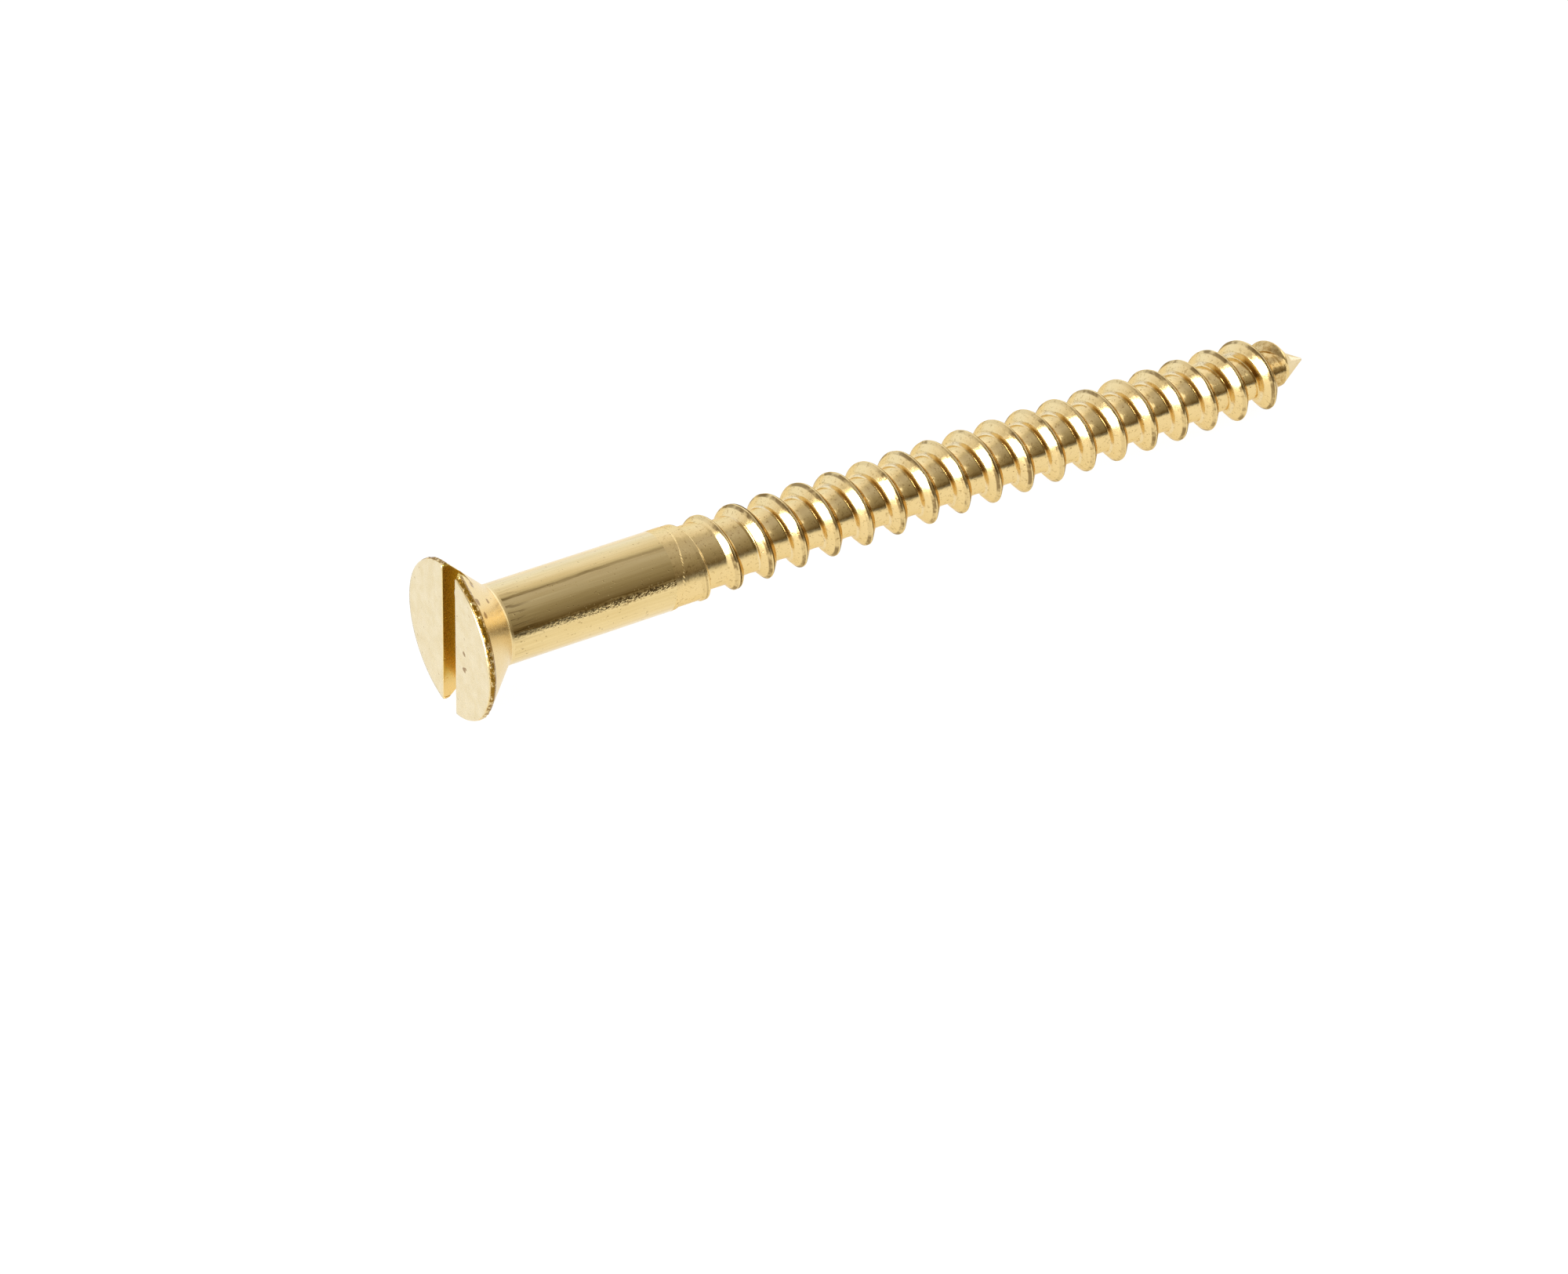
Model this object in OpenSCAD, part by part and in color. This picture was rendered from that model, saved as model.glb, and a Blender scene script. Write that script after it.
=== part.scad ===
// Slotted countersunk wood screw, solid brass, lying along +X.
// The origin is the centre of the head's flat face and the point is at +X.
// The driver slot runs along Z, so it stands upright when the screw lies down.
// The real screw is one piece of metal. Its regions meet on flat faces across the axis.

/* [Length] */
// Length from the head's flat face to the tip of the point
total_length = 50.8; // [50:0.1:52]

/* [Head] */
// Diameter at the widest part of the head
head_d = 8.2; // [7.8:0.05:8.4]
// How much smaller the flat face is than the head, on the radius
face_inset = 0.06; // [0.02:0.01:0.12]
// Height of the narrow rim between the flat face and the cone
rim_height = 0.27; // [0.2:0.01:0.4]
// Full angle of the countersink cone
cone_angle = 90; // [88:1:92]
// Radius of the fillet where the cone runs into the shank
neck_fillet = 0.4; // [0.2:0.05:0.6]

/* [Driver slot] */
// Width of the slot across the face
slot_width = 1.26; // [0.9:0.02:1.4]
// Depth of the slot below the face
slot_depth = 1.0; // [0.8:0.05:1.2]

/* [Shank] */
// Diameter of the plain shank, which is also the outside diameter of the thread
shank_d = 4.1; // [3.9:0.05:4.2]
// Distance from the head's flat face to where the thread groove starts
plain_end = 11.4; // [10.5:0.1:12.5]

/* [Thread] */
// Distance between neighbouring turns of the thread
pitch = 1.925; // [1.8:0.005:2]
// Diameter of the core between the turns
root_d = 2.7; // [2.6:0.02:2.9]
// Number of turns over which the groove reaches its full depth
run_in_turns = 3.3; // [2.5:0.1:4]
// Share of the pitch taken up by the thin crest
crest_share = 0.09; // [0.06:0.01:0.12]
// Share of the pitch taken up by the foot of the ridge
foot_share = 0.56; // [0.4:0.02:0.6]
// Angle about the axis, from +Y towards +Z, at which the groove starts
start_angle = -20; // [-180:2.5:180]
// Steps round each turn
steps = 36; // [24:4:40]

/* [Point] */
// Diameter of the core where the pointed end begins
point_d = 2.0; // [1.9:0.02:2.1]
// Length of the last cone, measured from the tip
point_length = 1.7; // [1.6:0.05:1.9]
// Length over which the core narrows before the last cone
taper_length = 5.1; // [4.5:0.1:5.5]
// Distance from the tip at which the thread begins to fall away
fade_start = 2.9; // [2.7:0.1:3.3]
// Distance from the tip at which the thread is gone
fade_end = 1.55; // [1.55:0.05:1.9]

/* [Hidden] */
$fn = 96;
head_r = head_d / 2;
face_r = head_r - face_inset;
shank_r = shank_d / 2;
root_r = root_d / 2;
point_r = point_d / 2;
half_cone = cone_angle / 2;
neck_x = rim_height + (head_r - shank_r) / tan(half_cone);
fillet_run = neck_fillet * tan(half_cone / 2);
head_end = neck_x + fillet_run;
fillet_steps = 6;
run_in = run_in_turns * pitch;
taper_x = total_length - point_length - taper_length;
cone_x = total_length - point_length;
lead_turns = 1.5;
margin = 1;

// Profile of the ridge over one pitch. The flanks keep their slope as the groove deepens,
// so the crest starts wide and ends as a thin edge.
foot_curve = 0.14;
foot_curve_height = 0.12;
least_flank = 0.05;
full_flank = (foot_share - crest_share) / 2;
ridge_height = [0, foot_curve_height, 1, 1, foot_curve_height, 0];
points_per_step = len(ridge_height);
ridge_mid = foot_share / 2;

// Radius of the core and of the crest at a distance from the head's face
function core_r(x) =
  lookup(x, [
    [plain_end, shank_r],
    [plain_end + run_in, root_r],
    [taper_x, root_r],
    [cone_x, point_r],
    [total_length, 0]
  ]);
function crest_share_at(x) =
  lookup(x, [
    [total_length - fade_start, 1],
    [total_length - fade_end, 0]
  ]);
function helix_x(s) = plain_end - pitch * lead_turns + pitch * s / steps;
function helix_angle(s) = start_angle + 360 * (s / steps - lead_turns);
function ring_point(x, r, a) = [x, r * cos(a), r * sin(a)];
function flank_at(x) =
  full_flank * max(least_flank, (shank_r - core_r(x)) / (shank_r - root_r));
function ridge_place(j, flank) =
  [
    0,
    flank * foot_curve,
    flank,
    foot_share - flank,
    foot_share - flank * foot_curve,
    foot_share
  ][j];
function ridge_point(s, j) =
  let (
    flank = min(full_flank, flank_at(helix_x(s) + pitch * ridge_mid)),
    x = helix_x(s) + pitch * ridge_place(j, flank),
    low = core_r(x),
    share = ridge_height[j] * crest_share_at(helix_x(s) + pitch * ridge_mid)
  )
  ring_point(x, low + share * (shank_r - low), helix_angle(s));

module along_x() {
  rotate([0, 90, 0])
    children();
}

// The threaded bar from one helix step to another, closed by a cone at each end
module threaded_bar(first, last) {
  count = last - first;
  per = points_per_step;
  body = [for (s = [first : last + steps]) for (j = [0 : per - 1]) ridge_point(s, j)];
  near_tip = [helix_x(first) - pitch, 0, 0];
  far_tip = [min(total_length, helix_x(last) + 2 * pitch), 0, 0];
  near = len(body);
  far = near + 1;
  function at(s, j) = (s + (j == per ? steps : 0)) * per + (j == per ? 0 : j);
  skin = [
    for (s = [0 : count - 1]) for (j = [0 : per - 1]) each [
      [at(s, j), at(s + 1, j), at(s + 1, j + 1)],
      [at(s, j), at(s + 1, j + 1), at(s, j + 1)]
    ]
  ];
  near_ramp = [for (s = [0 : steps - 1]) [near, at(s + 1, 0), at(s, 0)]];
  near_step = [for (j = [0 : per - 1]) [near, at(0, j), at(0, j + 1)]];
  far_ramp = [for (s = [0 : steps - 1]) [far, at(count + s, 0), at(count + s + 1, 0)]];
  far_step = [for (j = [0 : per - 1]) [far, at(count, j + 1), at(count, j)]];
  polyhedron(
    points = concat(body, [near_tip, far_tip]),
    faces = concat(skin, near_ramp, near_step, far_ramp, far_step)
  );
}

// Keeps what lies between two distances from the head's face
module between(from_x, to_x) {
  intersection() {
    children();
    translate([from_x, -head_r, -head_r])
      cube([to_x - from_x, head_d, head_d]);
  }
}

module countersunk_head() {
  fillet_r = shank_r + neck_fillet;
  profile = concat(
    [[0, 0], [face_r, 0], [head_r, rim_height]],
    [
      for (i = [0 : fillet_steps])
        let (a = half_cone * (1 - i / fillet_steps))
        [fillet_r - neck_fillet * cos(a), head_end - neck_fillet * sin(a)]
    ],
    [[0, head_end]]
  );
  color([0.89, 0.78, 0.5])
    difference() {
      along_x()
        rotate_extrude()
          polygon(profile);
      translate([-margin, -slot_width / 2, -head_d])
        cube([slot_depth + margin, slot_width, 2 * head_d]);
    }
}

module plain_shank() {
  color([0.86, 0.74, 0.45])
    translate([head_end, 0, 0])
      along_x()
        cylinder(r = shank_r, h = plain_end - head_end);
}

module threaded_shank() {
  turns = (taper_x - plain_end) / pitch + lead_turns;
  color([0.83, 0.69, 0.4])
    between(plain_end, taper_x)
      threaded_bar(0, ceil((turns + 0.5) * steps));
}

module gimlet_point() {
  first_turn = floor((taper_x - plain_end) / pitch + lead_turns - 2);
  last_turn = (total_length - fade_end - plain_end) / pitch + lead_turns - ridge_mid;
  color([0.8, 0.66, 0.38])
    between(taper_x, total_length)
      threaded_bar(first_turn * steps, ceil(last_turn * steps));
}

countersunk_head();
plain_shank();
threaded_shank();
gimlet_point();
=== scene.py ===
"""Looks of a slotted, countersunk, solid brass wood screw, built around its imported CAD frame.

Lengths in the shape functions are in millimetres. The screw lies along +X with its flat face at x = 0
and its driver slot along Z. Angles around the axis run from +Y towards +Z.
"""
import math

import bmesh
import bpy
import numpy as np
from mathutils import Matrix, Vector


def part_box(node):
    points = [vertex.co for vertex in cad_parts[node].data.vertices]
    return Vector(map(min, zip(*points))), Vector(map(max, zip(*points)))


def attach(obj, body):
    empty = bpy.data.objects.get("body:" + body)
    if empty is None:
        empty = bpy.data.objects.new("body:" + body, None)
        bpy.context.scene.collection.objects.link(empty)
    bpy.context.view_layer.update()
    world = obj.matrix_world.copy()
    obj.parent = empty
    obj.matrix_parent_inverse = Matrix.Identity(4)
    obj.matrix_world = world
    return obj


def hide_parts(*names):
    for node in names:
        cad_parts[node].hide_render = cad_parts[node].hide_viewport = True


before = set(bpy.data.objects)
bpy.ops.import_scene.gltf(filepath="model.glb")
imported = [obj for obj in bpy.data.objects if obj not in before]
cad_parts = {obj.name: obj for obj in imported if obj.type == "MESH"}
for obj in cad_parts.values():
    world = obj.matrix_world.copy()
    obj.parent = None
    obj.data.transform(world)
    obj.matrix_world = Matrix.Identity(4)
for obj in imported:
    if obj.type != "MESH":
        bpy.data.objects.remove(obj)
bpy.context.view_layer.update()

MM = 0.001
TAU = 2 * math.pi
NOISE_SIZE = 4096

# Distance in millimetres, and angle in radians, over which a surface's slope is taken
SLOPE_STEP = 0.006


def cad_box(node):
    """Lowest and highest corner of a CAD node, in millimetres."""
    low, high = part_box(node)
    return np.array(low) / MM, np.array(high) / MM


HEAD_LOW, HEAD_HIGH = cad_box("countersunk_head")
SHANK_LOW, SHANK_HIGH = cad_box("plain_shank")
THREAD_LOW = cad_box("threaded_shank")[0]
POINT_LOW, POINT_HIGH = cad_box("gimlet_point")

# Head: outer radius, flat face inside its edge, straight rim, neck, driver slot, and angles in degrees: the
# middle and half width of its bevel, and the one above which an edge is sharp
HEAD_R = HEAD_HIGH[1]
FACE_R = HEAD_R - 0.06
RIM_H = 0.27
HEAD_END = HEAD_HIGH[0]
SHANK_R = SHANK_HIGH[1]
NECK_X = RIM_H + HEAD_R - SHANK_R
NECK_FILLET = 0.22
SLOT_HALF = 0.63
SLOT_DEPTH = 1.0
SLOT_CORNER = 0.03
BEVEL_TURN = 150
BEVEL_HALF = 22
SHARP_ABOVE = 50
ARC_STEPS = 200
CHORD_STEPS = 90
FLOOR_STEPS = 10
FILLET_STEPS = 8

# Burr on the face and lip on the cone, both beside the slot: middle and half width
BURR_Z, BURR_HALF = 3.2, 0.28
LIP_Y, LIP_HALF = -0.66, 0.55

# Shank: sides, rings, and how far from each end it becomes exactly round
SHANK_SIDES = 360
SHANK_RINGS = 90
END_BLEND = 0.6

# Thread: its stretch, and its helix. At x = 0 the helix stands this many degrees before +Y.
THREAD_START = THREAD_LOW[0]
TAPER_X = POINT_LOW[0]
TIP_X = POINT_HIGH[0]
TIP_GAP = 0.001
PITCH = 1.9245
CREST_AHEAD = 93.6
TURN_STEPS = 120

# Thread's profile: radii, half widths in pitches, and roundings ahead of the ridge and behind it
ROOT_R = 1.355
CREST_EDGE_R = SHANK_R - 0.03
CREST_HALF = 0.0475
FOOT_HALF = 0.28
CREST_ROUND = 0.05
GROOVE_HOLLOW = 0.035
FOOT_FILLET_AHEAD = 0.11
FOOT_FILLET_BEHIND = 0.07

# Stretches over which the thread's roughness, the point's profile and the ridge's end come in
RUN_IN = (12.5, 15.0)
POINT_BLEND = (43.0, 45.0)
RIDGE_END = (49.0, 49.5)

# Tilted ring where the drawn shank ends: its middle, how far it sways, and the angle where it sways most
RING_X = 11.92
RING_SWAY = 0.34
RING_TURN = math.radians(58)


# ---------------------------------------------------------------- shape functions


def smooth(t):
    """Eases a share from 0 to 1."""
    return t * t * (3 - 2 * t)


def step(x, low, high):
    """A soft step from 0 to 1 between two places."""
    return smooth(np.clip((x - low) / (high - low), 0, 1))


def bump_at(x, centre, half):
    """A rounded bump from 0 to 1 around a place."""
    return smooth(np.clip(1 - np.abs(x - centre) / half, 0, 1))


def smooth_max(a, b, k):
    """The larger of two values, with the corner between them rounded over about k."""
    h = np.clip(0.5 + 0.5 * (a - b) / k, 0, 1)
    return b * (1 - h) + a * h + k * h * (1 - h)


def smooth_min(a, b, k):
    """The smaller of two values, rounded in the same way."""
    return -smooth_max(-a, -b, k)


def noise_table(seed):
    """Random values from -1 to 1, the same ones on each run."""
    return np.random.RandomState(seed).rand(NOISE_SIZE) * 2 - 1


def noise_1d(t, seed):
    """Smooth noise from -1 to 1 along one coordinate."""
    table = noise_table(seed)
    cell = np.floor(t).astype(int)
    part = smooth(t - cell)
    return table[cell % NOISE_SIZE] * (1 - part) + table[(cell + 1) % NOISE_SIZE] * part


def noise_2d(a, b, seed, wrap=NOISE_SIZE):
    """Smooth noise from -1 to 1 over two coordinates. The first one repeats after a number of cells."""
    table = noise_table(seed)
    ca, cb = np.floor(a).astype(int), np.floor(b).astype(int)
    pa, pb = smooth(a - ca), smooth(b - cb)

    def at(i, j):
        """The random value of a cell. The factors only scatter the cells over the table."""
        i = i % wrap
        return table[(i * 73 + j * 1931 + (i * j) % 97 * 31) % NOISE_SIZE]

    low = at(ca, cb) * (1 - pa) + at(ca + 1, cb) * pa
    high = at(ca, cb + 1) * (1 - pa) + at(ca + 1, cb + 1) * pa
    return low * (1 - pb) + high * pb


def noise_around(angle, cells, along, seed):
    """Smooth noise over the angle, which closes after a number of cells, and over another coordinate."""
    return noise_2d(angle / TAU * cells, along, seed, cells)


def core_radius(x):
    """Radius of the groove's floor, which dives into the shank and tapers at the point."""
    run_in_xs, run_in_rs = [0, 12.1, 12.5, 14.4, 16.3, 18.0], [SHANK_R, SHANK_R, 1.90, 1.63, 1.50, ROOT_R]
    point_xs, point_rs = [43.0, 45.0, 47.0, 49.1], [ROOT_R, 1.30, 1.22, 1.0]
    tip_xs, tip_rs = [TIP_X - 0.12, TIP_X - 0.04, TIP_X, TIP_X + 5], [0.12, 0.08, 0.015, 0.015]
    return np.interp(x, run_in_xs + point_xs + tip_xs, run_in_rs + point_rs + tip_rs)


def crest_radius(x):
    """Radius of the ridge's top, which runs out at the point."""
    xs = [0, 47.0, 47.9, 48.3, 48.7, 49.25, 49.6]
    rs = [SHANK_R, SHANK_R - 0.01, 1.96, 1.90, 1.74, 1.12, 0.5]
    return np.interp(x, xs, rs)


def helix_phase(x, angle):
    """Distance from the nearest crest, in pitches, at a place on the screw."""
    turns = x / PITCH - (np.degrees(angle) + CREST_AHEAD) / 360
    return turns - np.round(turns)


def blank_radius(x, angle):
    """Outside of the rougher blank that the thread is cut in. A fine turned line, on a ring that is
    slightly tilted, parts it from the drawn shank."""
    past_ring = x - (RING_X + RING_SWAY * np.cos(angle - RING_TURN))
    blank = SHANK_R - 0.012 * step(past_ring, 0.0, 0.05) - 0.016 * bump_at(past_ring, 0.03, 0.05)
    return blank + 0.004 * noise_around(angle, 56, x / 0.35, seed=19) * step(past_ring, 0.0, 0.1)


def flank_radius(phase, along, ridge_x, floor_r, near_tip):
    """Radius of the ridge's two flanks, which are steeper at the foot than above it. The flank towards
    the point starts closer to the crest on the first turns."""
    foot = FOOT_HALF * PITCH + 0.010 * noise_1d(along / 0.9, seed=13)
    cut_back = (0.10 + 0.08 * step(ridge_x, 13.4, 14.4)) * (1 - step(ridge_x, 14.75, 15.1))
    foot = foot - cut_back * (phase > 0)
    up = (foot - np.abs(phase * PITCH)) / ((FOOT_HALF - CREST_HALF) * PITCH)
    rise = (CREST_EDGE_R - ROOT_R) * smooth_min(1.75 * up, 0.24 + 0.76 * up, 0.06)
    from_floor_up = np.where(phase < 0, ROOT_R, floor_r) + rise
    from_crest_down = crest_radius(ridge_x) - (SHANK_R - ROOT_R) + rise
    return from_floor_up * (1 - near_tip) + from_crest_down * near_tip


def thread_radius(x, angle):
    """Radius of the threaded surface at a distance from the head's face and an angle around the axis."""
    phase = helix_phase(x, angle)
    along = (x / PITCH - phase) * TAU * SHANK_R
    ridge_x = x - phase * PITCH
    groove_x = ridge_x + 0.5 * np.sign(phase) * PITCH
    near_tip = step(x, *POINT_BLEND)
    grown = step(x, *RUN_IN)
    floor_r = core_radius(groove_x) * (1 - near_tip) + core_radius(x) * near_tip
    from_middle = np.clip((0.5 - np.abs(phase)) / (0.5 - FOOT_HALF), 0, 1)
    hollow = GROOVE_HOLLOW * from_middle**2 * step(x, 14.5, 17.0)
    uneven = 0.006 * noise_around(angle, 12, x / 0.64, seed=3) * grown
    core = floor_r + (hollow + uneven) * (1 - near_tip)
    flank = flank_radius(phase, along, ridge_x, floor_r, near_tip)
    wall = smooth_max(core, flank, np.where(phase > 0, FOOT_FILLET_AHEAD, FOOT_FILLET_BEHIND))
    rough = 0.005 * noise_1d(along / 0.17, seed=11) + 0.010 * noise_1d(along / 0.53, seed=12)
    rough = rough + 0.003 * noise_2d(along / 0.11, phase * PITCH / 0.05, seed=17)
    top = np.maximum(crest_radius(ridge_x), core + 0.08)
    top = top + rough * step(top, 1.2, 1.8) * grown
    ridge_left = 1 - step(ridge_x, *RIDGE_END)
    radius = core + (smooth_min(wall, top, CREST_ROUND) - core) * ridge_left
    radius = np.minimum(radius, blank_radius(x, angle) + 0.05 * grown)
    return np.maximum(radius, 0.01)


def shank_radius(x, angle):
    """The drawn shank: barely uneven, and exactly round at both ends, where it meets its neighbours."""
    wobble = 0.0035 * noise_around(angle, 24, x / 2.6 + 3, seed=31)
    drawn = 0.0008 + 0.0016 * (1 - step(x, 3.0, 6.5))
    wobble = wobble + drawn * noise_around(angle, 150, x / 1.7 + 3, seed=32)
    start, end = SHANK_LOW[0], THREAD_START
    fade = step(x, start, start + END_BLEND) * (1 - step(x, end - END_BLEND, end))
    return SHANK_R + wobble * fade


def around_axis(x, radius, angle):
    """Points from distances along the axis, radii and angles."""
    return np.stack([x, radius * np.cos(angle), radius * np.sin(angle)], -1)


def surface_normals(points, radius_at):
    """Normals of a surface given as a radius over distance and angle."""
    x = points[:, 0]
    angle = np.arctan2(points[:, 2], points[:, 1])
    r = np.maximum(radius_at(x, angle), 1e-4)
    dx = da = SLOPE_STEP
    slope_x = (radius_at(x + dx, angle) - radius_at(x - dx, angle)) / (2 * dx)
    slope_a = (radius_at(x, angle + da) - radius_at(x, angle - da)) / (2 * da) / r
    radial = np.stack([0 * x, np.cos(angle), np.sin(angle)], -1)
    around = np.stack([0 * x, -np.sin(angle), np.cos(angle)], -1)
    n = radial - slope_a[:, None] * around - slope_x[:, None] * np.array([1.0, 0, 0])
    return n / np.linalg.norm(n, axis=1)[:, None]


# ---------------------------------------------------------------- mesh helpers


def new_object(name, data):
    """An object with the given mesh, light or camera, in the scene."""
    obj = bpy.data.objects.new(name, data)
    bpy.context.scene.collection.objects.link(obj)
    return obj


class Skin:
    """Points and faces of a mesh that is put together ring by ring."""

    def __init__(self):
        self.points, self.faces = [], []

    def add(self, new):
        """Adds points, and returns their numbers."""
        first = len(self.points)
        self.points.extend(np.asarray(new).tolist())
        return list(range(first, first + len(new)))

    def band(self, a, b):
        """Joins two closed rings of equally many points."""
        for i in range(len(a)):
            j = (i + 1) % len(a)
            self.faces.append([a[i], a[j], b[j], b[i]])


def cut_between(bm, low, high):
    """Keeps what lies between two planes across the axis, with a flat cap on each."""
    for x, side in ((low, -1), (high, 1)):
        geometry = bm.verts[:] + bm.edges[:] + bm.faces[:]
        cut = bmesh.ops.bisect_plane(
            bm,
            geom=geometry,
            dist=1e-9,
            plane_co=(x * MM, 0, 0),
            plane_no=(side, 0, 0),
            clear_outer=True,
        )
        edges = [e for e in cut["geom_cut"] if isinstance(e, bmesh.types.BMEdge)]
        rim = [e for e in edges if e.is_boundary]
        if rim:
            bmesh.ops.contextual_create(bm, geom=rim)


def mesh_from(name, points, faces, span=None, merge=None):
    """A mesh in metres from points in millimetres, with its normals facing out. It can be cut to a span
    along the axis, and points closer than a distance in metres can be merged."""
    mesh = bpy.data.meshes.new(name)
    mesh.from_pydata((np.asarray(points) * MM).tolist(), [], faces)
    bm = bmesh.new()
    bm.from_mesh(mesh)
    if span:
        cut_between(bm, *span)
    if merge:
        bmesh.ops.remove_doubles(bm, verts=bm.verts, dist=merge)
    bmesh.ops.recalc_face_normals(bm, faces=bm.faces)
    bm.to_mesh(mesh)
    bm.free()
    mesh.shade_smooth()
    return mesh


def set_exact_normals(mesh, radius_at, cap_xs):
    """Exact normals on the skin, and flat ones on the caps that meet the neighbouring pieces."""
    co = np.zeros(len(mesh.vertices) * 3)
    mesh.vertices.foreach_get("co", co)
    corner = np.zeros(len(mesh.loops), int)
    mesh.loops.foreach_get("vertex_index", corner)
    normals = surface_normals(co.reshape(-1, 3) / MM, radius_at)[corner]
    for poly in mesh.polygons:
        centre_x = poly.center.x / MM
        if abs(poly.normal.x) > 0.999 and min(abs(centre_x - c) for c in cap_xs) < 1e-3:
            normals[list(poly.loop_indices)] = poly.normal
    mesh.normals_split_custom_set(normals.tolist())


# ---------------------------------------------------------------- head


def slotted_rows():
    """Distance, radius and slot half width of each ring from the middle of the face to the slot's floor."""
    rows = [(0.0, FACE_R - d, SLOT_HALF + d) for d in (1.3, 0.8, 0.45, 0.25, 0.16)]
    rows += [
        (0.004, FACE_R - 0.10, SLOT_HALF + 0.06),
        (0.014, FACE_R - 0.06, SLOT_HALF + 0.03),
        (0.030, FACE_R - 0.027, SLOT_HALF + 0.012),
        (0.052, FACE_R - 0.004, SLOT_HALF + 0.002),
    ]
    for x in (0.1, 0.125, 0.15, 0.175, 0.2, 0.225):
        rows.append((x, FACE_R + (HEAD_R - FACE_R) * (x / RIM_H) ** 0.8, SLOT_HALF))
    rows += [(0.25, HEAD_R - 0.003, SLOT_HALF), (0.275, HEAD_R - 0.012, SLOT_HALF)]
    for x in (0.305, 0.34, 0.39, 0.45, 0.52, 0.6, 0.68, 0.76, 0.84, 0.9, 0.95):
        rows.append((x, HEAD_R - (x - RIM_H), SLOT_HALF))
    rows.append((SLOT_DEPTH, HEAD_R - (SLOT_DEPTH - RIM_H), SLOT_HALF))
    return rows


def lower_rows():
    """Distance and radius of each ring from just below the slot's floor to the end of the neck."""
    rows = [(x, HEAD_R - (x - RIM_H)) for x in (1.03, 1.08, 1.16, 1.28, 1.42, 1.58, 1.75, 1.9, 2.02)]
    turn = math.radians(45)
    centre_r = SHANK_R + NECK_FILLET
    end_x = NECK_X + NECK_FILLET * math.tan(turn / 2)
    for i in range(FILLET_STEPS + 1):
        a = turn * (1 - i / FILLET_STEPS)
        rows.append((end_x - NECK_FILLET * math.sin(a), centre_r - NECK_FILLET * math.cos(a)))
    rows.append(((end_x + HEAD_END) / 2, SHANK_R))
    rows.append((HEAD_END, SHANK_R))
    return rows


def lobe_ring(x, radius, half, side):
    """Closed ring of points around one half of the slotted head: its arc and then its straight side."""
    corner = SLOT_CORNER * min(1.0, (SLOT_DEPTH - x) / 0.1)
    arc_end = math.acos(min(1.0, (half + corner) / radius))
    angles = np.linspace(arc_end, -arc_end, ARC_STEPS + 1)
    arc = np.stack([x + 0 * angles, side * radius * np.cos(angles), radius * np.sin(angles)], -1)
    reach = math.sqrt(radius**2 - half**2) - corner
    z = np.linspace(-reach, reach, CHORD_STEPS + 1)
    chord = np.stack([x + 0 * z, side * half + 0 * z, z], -1)
    return np.concatenate([arc, chord])


def lower_ring(x, radius):
    """Closed ring below the slot, with its points in step with those around the slotted part."""
    end = math.acos(SLOT_HALF / radius)
    angles = np.linspace(end, -end, ARC_STEPS + 1)
    across = np.linspace(SLOT_HALF, -SLOT_HALF, FLOOR_STEPS + 1)
    height = np.sqrt(radius**2 - across**2)
    parts = [
        np.stack([0 * angles + x, radius * np.cos(angles), radius * np.sin(angles)], -1),
        np.stack([0 * across + x, across, -height], -1),
        np.stack([0 * angles + x, -radius * np.cos(angles), -radius * np.sin(angles)], -1),
        np.stack([0 * across + x, -across, height], -1),
    ]
    return np.concatenate(parts)


def add_slotted_half(skin, side):
    """One half of the slotted head, from its face to the slot's floor. Returns its lowest ring, as the
    arc and the straight side."""
    rings = [skin.add(lobe_ring(x, radius, half, side)) for x, radius, half in slotted_rows()]
    skin.faces.append(rings[0])
    for a, b in zip(rings, rings[1:]):
        skin.band(a, b)
    return rings[-1][: ARC_STEPS + 1], rings[-1][ARC_STEPS + 1 :]


def add_slot_floor(skin, right, left):
    """The slot's floor between the feet of its walls. Returns its two ends."""
    radius = slotted_rows()[-1][1]
    columns = [right]
    for j in range(1, FLOOR_STEPS):
        y = SLOT_HALF * (1 - 2 * j / FLOOR_STEPS)
        z = np.linspace(-1, 1, CHORD_STEPS + 1) * math.sqrt(radius**2 - y**2)
        columns.append(skin.add(np.stack([0 * z + SLOT_DEPTH, 0 * z + y, z], -1)))
    columns.append(left)
    for a, b in zip(columns, columns[1:]):
        for k in range(CHORD_STEPS):
            skin.faces.append([a[k], a[k + 1], b[k + 1], b[k]])
    return [c[0] for c in columns], [c[-1] for c in columns]


def roll_edge(points, radius, angle):
    """Gives the face a broad bevel around one angle, and a tight rounded edge elsewhere."""
    x = points[:, 0]
    broad = np.exp(-(((np.degrees(angle) % 360 - BEVEL_TURN) / BEVEL_HALF) ** 4))
    edge_rows = (x < 0.06) * (x > 0) * (radius > FACE_R - 0.13)
    inset = (FACE_R - radius) * edge_rows
    points[:, 1] += inset * 0.7 * (1 - broad) * np.cos(angle)
    points[:, 2] += inset * 0.7 * (1 - broad) * np.sin(angle)
    points[:, 0] += (0.092 - 0.88 * inset - x) * edge_rows * broad


def tear_rim(points, radius, angle):
    """Makes the rim a torn, grainy band."""
    x = points[:, 0]
    on_rim = step(radius, 3.93, 4.02) * (1 - step(x, 0.27, 0.36))
    deep = step(x, 0.01, 0.06)
    around = angle * HEAD_R
    coarse = noise_2d(around / 0.21, x / 0.12, seed=21)
    fine = noise_2d(around / 0.10, x / 0.05, seed=22)
    push = (0.022 * coarse + 0.014 * fine - 0.018) * on_rim * deep
    edge = 0.012 * noise_1d(around / 0.31, seed=23) * on_rim
    points[:, 1] += push * np.cos(angle)
    points[:, 2] += push * np.sin(angle)
    points[:, 0] += edge * 0.6 + 0.008 * fine * on_rim * deep


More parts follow.
